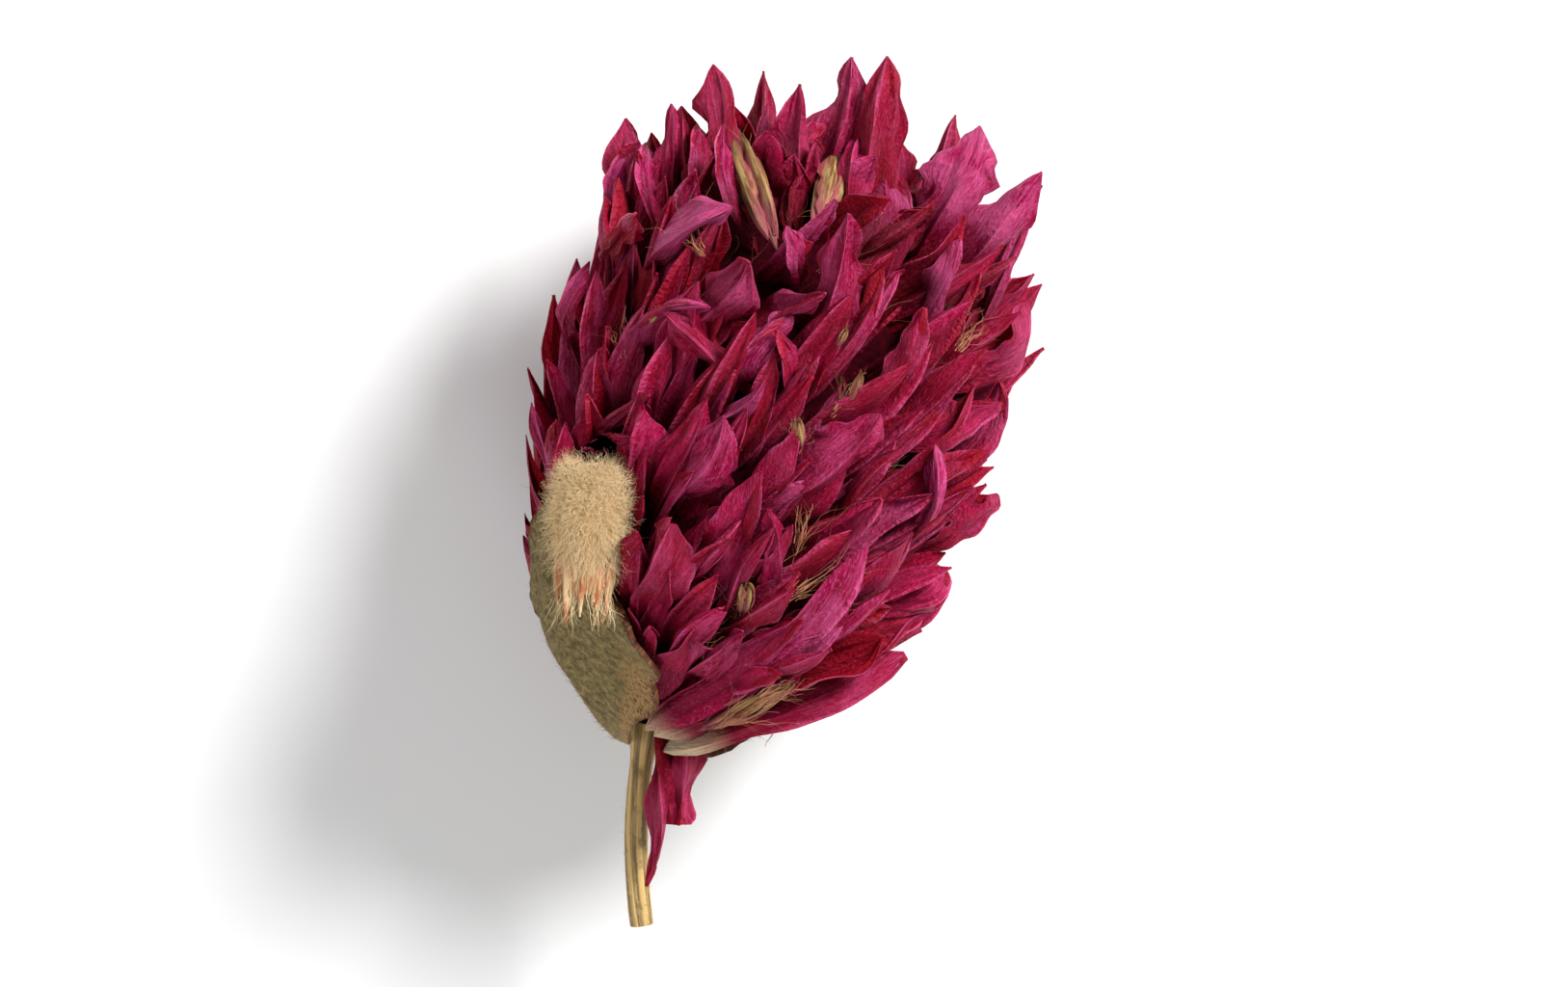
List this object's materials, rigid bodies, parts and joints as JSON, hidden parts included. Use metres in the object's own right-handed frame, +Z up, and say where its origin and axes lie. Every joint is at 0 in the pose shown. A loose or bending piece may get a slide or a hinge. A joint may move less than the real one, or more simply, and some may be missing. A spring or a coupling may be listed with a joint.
{
  "type": "dried globe amaranth flower",
  "caption": "Dried magenta flower head of papery pointed bracteoles on a short cut stem, with leafy bracts at its base, lying on its side.",
  "frame": {"origin": "centre of the bounding box's bottom face, on the surface that the flower lies on", "axes": "+Y from the cut stem to the crown, +Z up from the surface, +X to the right seen from above"},
  "size_m": [0.0244, 0.0401, 0.0209],
  "materials": {
    "bracteoles": "papery, faintly glossy magenta with cream bases",
    "stem": "dry, ribbed, straw-coloured",
    "leaf_bracts": "dry, dull olive with fine pale hairs",
    "wool": "woolly, cream"
  },
  "bodies": {
    "root": {"flower_head": "bracteoles", "stem": "stem", "leaf_bract": "leaf_bracts", "leaf_bract_under": "leaf_bracts", "woolly_floret": "wool"}
  },
  "joints": []
}
